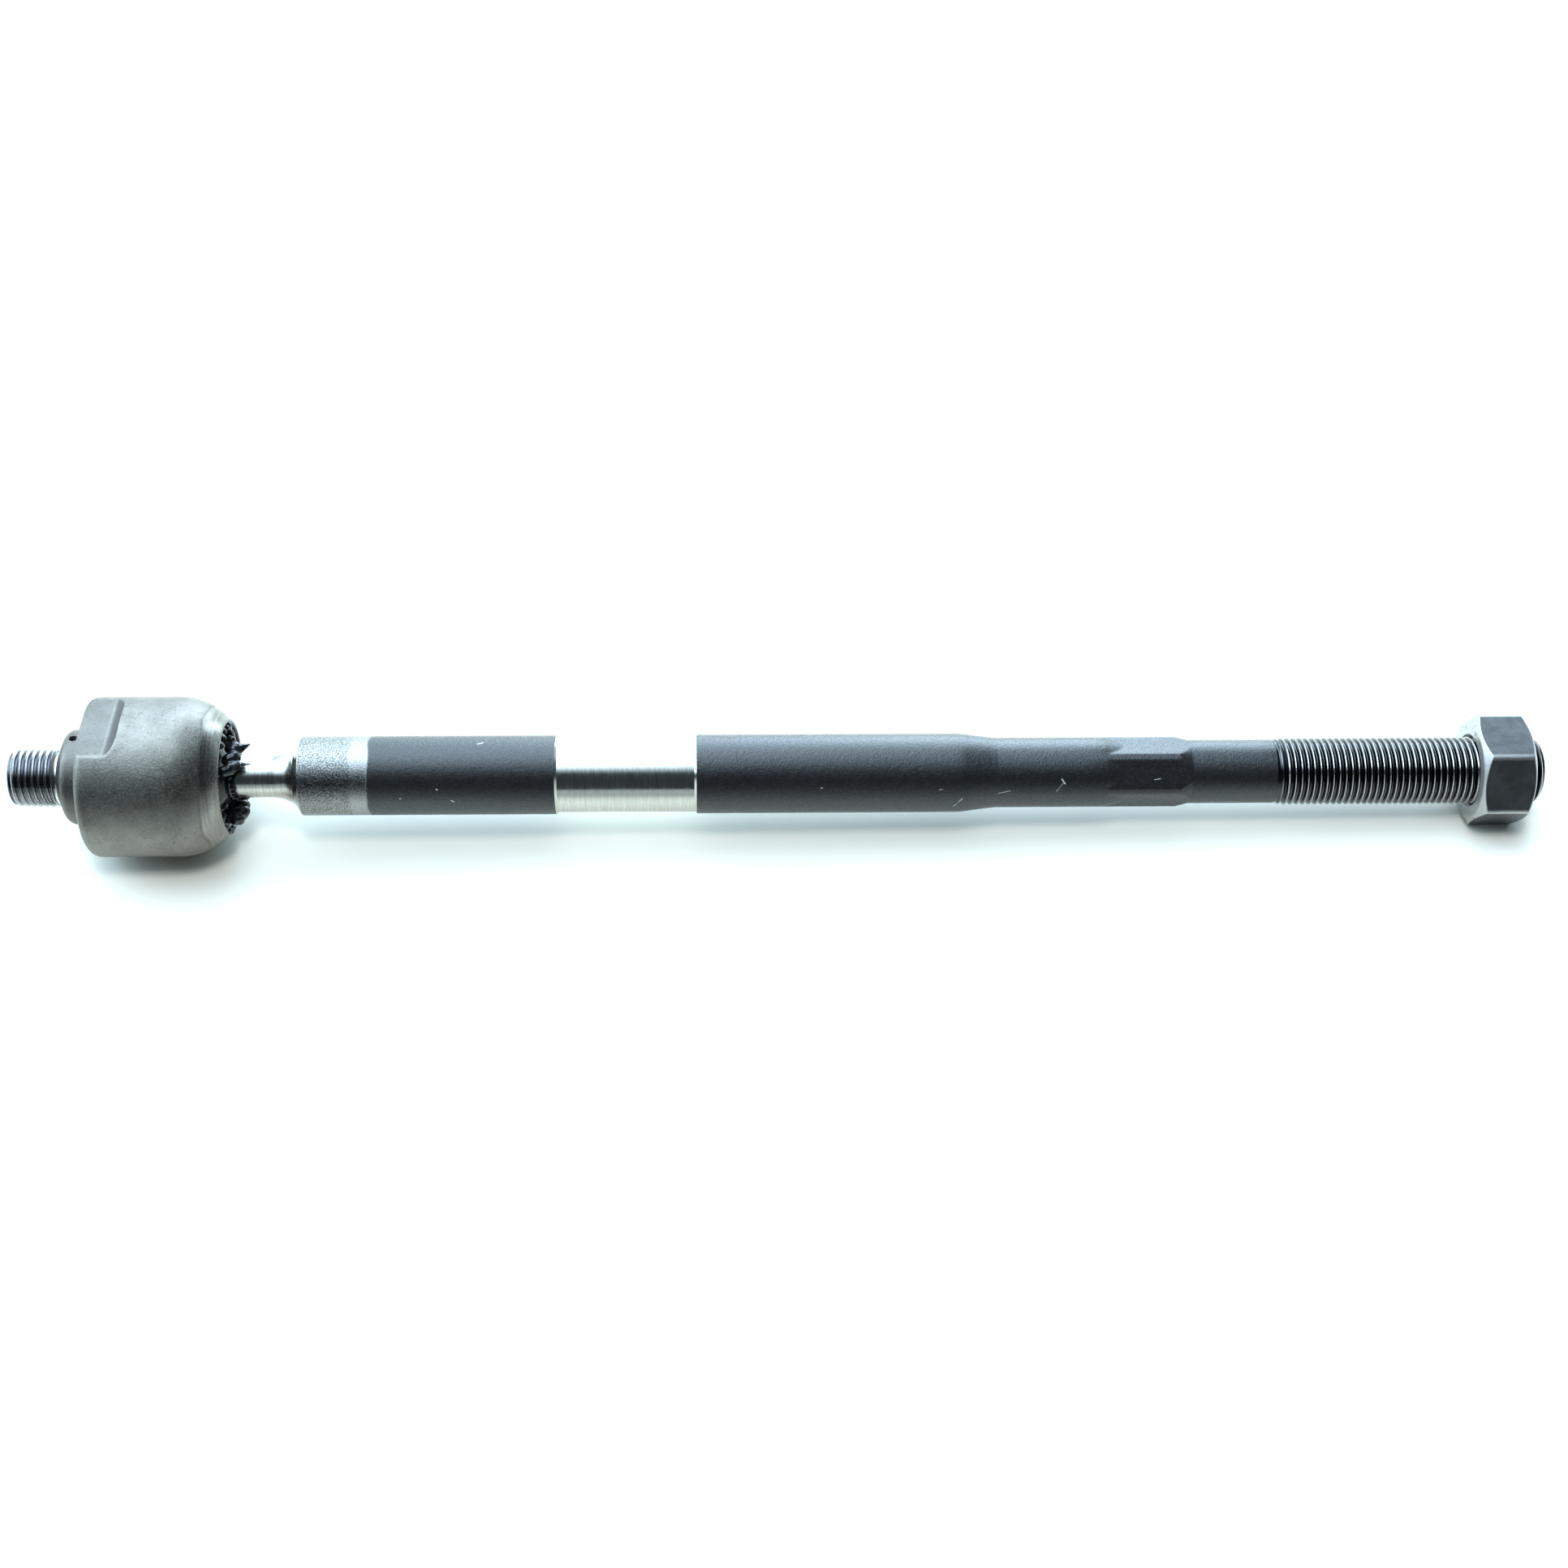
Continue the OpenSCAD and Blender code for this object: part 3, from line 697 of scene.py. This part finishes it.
sunk_end_x = hex_x + sunk_len
ball_back = 180 - np.degrees(asin(ball_flat_r / ball_r))
fillet_x = sqrt((ball_r + neck_fillet) ** 2 - (neck_r + neck_fillet) ** 2)
fillet_angle = np.degrees(atan2(neck_r + neck_fillet, fillet_x))
flare_turn = np.degrees(asin((flare_end_x - flare_x) / flare_r))
flare_rise = flare_r - sqrt(flare_r ** 2 - (flare_end_x - flare_x) ** 2)
rod_outline = (
    [(ball_x - sqrt(ball_r ** 2 - ball_flat_r ** 2), 0)]
    + bend(ball_x, 0, ball_r, ball_back, fillet_angle, 40)
    + bend(ball_x + fillet_x, neck_r + neck_fillet, neck_fillet, 180 + fillet_angle, 270, 6)
    + run((ball_x + fillet_x + 0.3, neck_r), (flare_x, neck_r), 6)
    + bend(flare_x, neck_r + flare_r, flare_r, 270, 270 + flare_turn, 12)
    + run((flare_end_x + 0.1, neck_r + flare_rise + 0.05), (shaft_x - 0.15, shaft_r - 0.2), 3)
    + bend(shaft_x + 0.1, shaft_r - 0.25, 0.25, 150, 90, 3)
    + run((shaft_x + 0.4, shaft_r), (band_x, shaft_r), 12)
    + run((band_x + 0.5, band_r), (band_end_x - 0.5, band_r), 8)
    + run((band_end_x, shaft_r), (taper_x - 0.6, shaft_r), 12)
    + run((taper_x + 0.6, shaft_r - 0.03), (bar_x - 0.1, bar_r + 0.01), 5)
    + run((bar_x + 0.3, bar_r), (hex_x, bar_r), 5)
    + run((hex_x + 0.15, bar_r), (sunk_end_x + 0.1, bar_r), 24)
    + run((sunk_end_x + 0.8, bar_r), (hex_end_x - 0.3, bar_r), 12)
    + run((hex_end_x, bar_r), (shank_x, shank_r), 16)
    + run((shank_x + 0.4, shank_r), (thread_x, shank_r), 5)
)
thread_steel = rolled_thread_steel("rod_thread_steel", 7.98, 7.60,
                                   (0.50, 0.485, 0.46, 1), (0.06, 0.06, 0.062, 1))
thread_sizes = {"Start": thread_x, "End": tip_x, "Pitch": thread_pitch, "Crest": thread_r,
                "Root": thread_root_r, "Blank": shank_r, "Start Fade": 2.6, "End Fade": 0.01,
                "Start Chamfer": no_chamfer, "End Chamfer": tip_chamfer}
rod_thread = thread(tree_of_threads, thread_steel, rod_columns, 8, thread_sizes, hex_angle)
rod_face = spun(run((tip_x, thread_r - tip_chamfer), (tip_x, 0), 3), rod_columns, hex_angle)
bar = spun(rod_outline, rod_columns, hex_angle, rod_cut)
turned_steel = bright_steel("turned_steel", 0.22, (0.68, 0.66, 0.60, 1), (0.46, 0.44, 0.40, 1),
                            0.16, 0.26, 0.012, grease_x=41.0)
ground_steel = bright_steel("ground_steel", 0.16, (0.72, 0.69, 0.62, 1), (0.54, 0.52, 0.47, 1),
                            0.13, 0.22, 0.010)


def rod_zone(x):
    """Turned up to the shaft, then coated, with the ground band and the thread apart."""
    if x < shaft_x:
        return 0
    if band_x < x < band_end_x:
        return 2
    return 3 if x > thread_x else 1


rod_finishes = [turned_steel, shaft_finish(), ground_steel, thread_steel]
rod = piece("rod_bar", [bar, rod_thread, rod_face], rod_finishes, rod_zone)
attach(rod, "rod")
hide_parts("rod")

# Jam nut
# A plain steel hexagon nut, cold formed, with its corners chamfered on both sides and its hole countersunk.
# It runs on the adjusting thread and locks the outer tie rod end there. Its corners are worn bright, with a
# painted highlight on them, and its end faces are painted light, a painted reflection.
nut_x = nut_low.x / mm
nut_end_x = nut_high.x / mm
nut_half = nut_high.z / mm
nut_face_r = 11.4
nut_corner_r = 13.86
nut_bore_r = 8.05
nut_sink = 0.7
nut_slope = 30.0
nut_corner_edge = 0.5
nut_chamfer_edge = 0.1
nut_columns = 288


def nut_cut(x, r, angle):
    """The nut's radius inside its six flats."""
    flats = hexagon_at(angle, nut_half, 30.0, nut_corner_edge)
    return np.where(r > nut_face_r - 0.6, soft_min(r, flats, nut_chamfer_edge), r)


def nut_steel():
    """Plain steel, dulled by oil and handling, with rust in specks near its left face, its corners and
    chamfers worn bright with a painted highlight, and its end faces painted light as a painted reflection.
    """
    material, tree, where, axes = start_paint("nut_steel")
    cloud = mottle(tree, where, 4.0, 5.0, 0.6)
    grain = mottle(tree, where, 0.35, 3.0, 0.6)
    around = radius_of(tree, axes)
    colour = blend(tree, ramp(tree, cloud, 0.35, 0.70), (0.085, 0.086, 0.087, 1), (0.125, 0.126, 0.126, 1))
    from_left = calc(tree, "SUBTRACT", axes["X"], nut_x * mm)
    from_right = calc(tree, "SUBTRACT", nut_end_x * mm, axes["X"])
    from_end = calc(tree, "MINIMUM", from_left, from_right)
    slant = calc(tree, "SUBTRACT", around, calc(tree, "DIVIDE", from_end, np.tan(radians(nut_slope))))
    chamfer = ramp(tree, slant, (nut_face_r - 0.45) * mm, (nut_face_r - 0.15) * mm)
    corner = ramp(tree, around, 13.35 * mm, 13.7 * mm)
    wear_and_sheen = times(tree, calc(tree, "MAXIMUM", chamfer, corner), ramp(tree, cloud, 0.25, 0.5, 0.6, 1.0))
    # Both end faces are painted light: a painted reflection of the bright room to the left
    wear_and_sheen = calc(tree, "MAXIMUM", wear_and_sheen, ramp(tree, from_end, 0.08 * mm, 0.02 * mm))
    colour = blend(tree, wear_and_sheen, colour, (0.46, 0.455, 0.44, 1))
    rust_spots = mottle(tree, where, 1.3, 4.0, 0.7)
    near_face = ramp(tree, axes["X"], (nut_x + 2.6) * mm, nut_x * mm)
    rust = times(tree, ramp(tree, rust_spots, 0.60, 0.68), near_face)
    for centre, size in ((on_bar(nut_x, 104, 10.2), 0.9), (on_bar(nut_x + 0.5, -28, 12.4), 1.1)):
        speck = times(tree, spot(tree, where, centre, 0.3 * size, size), ramp(tree, grain, 0.38, 0.55))
        rust = calc(tree, "MAXIMUM", rust, speck)
    colour = blend(tree, rust, colour, (0.16, 0.055, 0.02, 1))
    roughness = calc(tree, "ADD", ramp(tree, grain, 0.3, 0.7, 0.30, 0.42), times(tree, rust, 0.3))
    metal = ramp(tree, rust, 0.0, 1.0, 0.8, 0.0)
    finish_paint(tree, colour, roughness, bumps(tree, (grain, 0.02), (cloud, 0.05)), metal)
    return material


rise = (nut_corner_r - nut_face_r) * np.tan(radians(nut_slope))
nut_outline = (
    run((nut_x + nut_sink, nut_bore_r), (nut_x, nut_bore_r + nut_sink), 3)
    + run((nut_x, nut_bore_r + nut_sink + 0.1), (nut_x, nut_face_r), 4)
    + run((nut_x + 0.06, nut_face_r + 0.1), (nut_x + rise, nut_corner_r), 16)
    + run((nut_x + rise + 0.5, nut_corner_r), (nut_end_x - rise - 0.5, nut_corner_r), 6)
    + run((nut_end_x - rise, nut_corner_r), (nut_end_x - 0.06, nut_face_r + 0.1), 16)
    + run((nut_end_x, nut_face_r), (nut_end_x, nut_bore_r + nut_sink + 0.1), 4)
    + run((nut_end_x, nut_bore_r + nut_sink), (nut_end_x - nut_sink, nut_bore_r), 3)
    + run((nut_end_x - nut_sink - 0.2, nut_bore_r), (nut_x + nut_sink, nut_bore_r), 4)
)
nut = piece("jam_nut_steel", [spun(nut_outline, nut_columns, 0, nut_cut)], [nut_steel()])
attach(nut, "jam_nut")
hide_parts("jam_nut")

# Grease
# Black molybdenum grease that was pressed out when the ball was packed. It hangs in lumps in the mouth,
# above and below the neck, on the neck and along the rim.


def grease_paint():
    """Glossy black grease."""
    material, tree, where, _ = start_paint("grease")
    drift = mottle(tree, where, 1.2, 3.0)
    colour = blend(tree, ramp(tree, drift, 0.3, 0.7), (0.005, 0.005, 0.006, 1), grease_black)
    roughness = ramp(tree, drift, 0.3, 0.7, 0.08, 0.17)
    finish_paint(tree, colour, roughness, bumps(tree, (drift, 0.30)), metallic=0.0, IOR=1.5)
    return material


grease_finish = grease_paint()


def smear(name, strands, body, node, voxel=0.17):
    """Lumps and strings of grease: balls strung between (x, y, z, radius) points, melted into one skin."""
    work = bmesh.new()
    for start, stop in strands:
        length = (Vector(stop[:3]) - Vector(start[:3])).length
        steps = max(1, int(length / 0.25))
        for i in range(steps + 1):
            x, y, z, r = (a + (b - a) * i / steps for a, b in zip(start, stop))
            place = Matrix.Translation(Vector((x, y, z)) * mm)
            bmesh.ops.create_icosphere(work, subdivisions=2, radius=r * mm, matrix=place)
    mesh = bpy.data.meshes.new(name)
    work.to_mesh(mesh)
    work.free()
    holder = bpy.data.objects.new(name + "_lumps", mesh)
    bpy.context.collection.objects.link(holder)
    melt = holder.modifiers.new("melt", "REMESH")
    melt.mode = "VOXEL"
    melt.voxel_size = voxel * mm
    slump = holder.modifiers.new("slump", "SMOOTH")
    slump.iterations = 3
    graph = bpy.context.evaluated_depsgraph_get()
    made = bpy.data.meshes.new_from_object(holder.evaluated_get(graph))
    made.name = name
    made.materials.clear()
    made.materials.append(grease_finish)
    made.shade_smooth()
    bpy.data.objects.remove(holder)
    blob = bpy.data.objects.new(name, made)
    bpy.context.collection.objects.link(blob)
    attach(blob, body)
    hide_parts(node)
    return blob


rim_strands = []
film_x = 37.9
film_r = 12.0
film_thick = 0.55
for i in range(40):
    turn = radians(i * 9)
    ahead = radians(i * 9 + 9)
    size = film_thick + 0.15 * sin(i * 2.4)
    rim_strands.append(((film_x, film_r * cos(turn), film_r * sin(turn), size),
                        (film_x, film_r * cos(ahead), film_r * sin(ahead), film_thick)))

# Each lump's place along X, elevation, radius and size
rim_lumps = (
    (38.6, 84, 11.9, 0.9), (38.9, 96, 11.8, 0.75), (38.5, 108, 12.0, 0.85), (38.8, 120, 11.9, 0.7),
    (38.5, 134, 12.0, 0.8), (38.5, -26, 12.2, 0.9), (38.5, -36, 12.7, 1.0), (38.6, -46, 12.8, 0.9),
    (38.5, -56, 12.5, 0.8), (38.4, 20, 12.1, 0.6), (38.4, 48, 12.1, 0.6),
)
for x, elevation, r, size in rim_lumps:
    here = on_bar(x, elevation, r) / mm
    beside = on_bar(x - 0.7, elevation + 5, r + 0.2) / mm
    rim_strands.append(((*here, size), (*beside, 0.6)))
smear("grease_on_rim", rim_strands, "housing", "grease_rim")

# The lumps above and below the neck ride with the mouth's grease, and each gets a mesh of its own
above_strands = [
    ((39.3, -5.6, 7.8, 1.4), (40.6, -5.0, 7.9, 1.5)),
    ((40.6, -5.0, 7.9, 1.5), (41.8, -3.4, 7.7, 1.2)),
    ((39.9, -2.4, 8.1, 1.6), (41.2, -1.6, 8.2, 1.7)),
    ((39.9, 1.4, 8.2, 1.5), (41.2, 1.2, 8.6, 1.5)),
    ((41.0, 0.4, 8.5, 1.6), (42.4, 1.0, 8.6, 1.05)),
    ((42.4, 1.0, 8.6, 1.05), (44.5, 2.2, 8.75, 0.12)),
    ((39.2, 4.0, 8.6, 0.9), (40.2, 3.4, 9.0, 0.8)),
]
squashed_above = smear("grease_above_neck", above_strands, "mouth_grease", "grease_above")
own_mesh(squashed_above)

below_strands = [
    ((39.6, -4.6, -8.0, 1.6), (40.6, -4.4, -8.1, 1.8)),
    ((40.6, -4.4, -8.1, 1.8), (41.6, -4.0, -7.7, 1.2)),
    ((39.3, -6.2, -8.2, 1.4), (40.3, -6.0, -8.5, 1.4)),
    ((39.8, -2.0, -8.0, 1.5), (41.0, -2.0, -8.0, 1.5)),
    ((39.8, 1.4, -8.0, 1.3), (40.8, 1.0, -7.9, 1.2)),
    ((39.9, -7.0, -7.4, 0.9), (41.0, -6.2, -7.8, 0.9)),
]
squashed_below = smear("grease_below_neck", below_strands, "mouth_grease", "grease_below")
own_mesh(squashed_below)

neck_strands = []
collar_x = 39.3
collar_r = 5.2
collar_thick = 0.50
for i in range(24):
    turn = radians(i * 15)
    ahead = radians(i * 15 + 15)
    reach = 40.0 + 0.5 * sin(i * 1.7) + 0.3 * sin(i * 4.1)
    neck_strands.append(((collar_x, collar_r * cos(turn), collar_r * sin(turn), collar_thick),
                         (collar_x, collar_r * cos(ahead), collar_r * sin(ahead), collar_thick)))
    neck_strands.append(((collar_x + 0.1, 5.1 * cos(turn), 5.1 * sin(turn), collar_thick),
                         (reach, 5.1 * cos(turn), 5.1 * sin(turn), 0.40)))
smear("grease_on_neck", neck_strands, "neck_grease", "grease_collar")
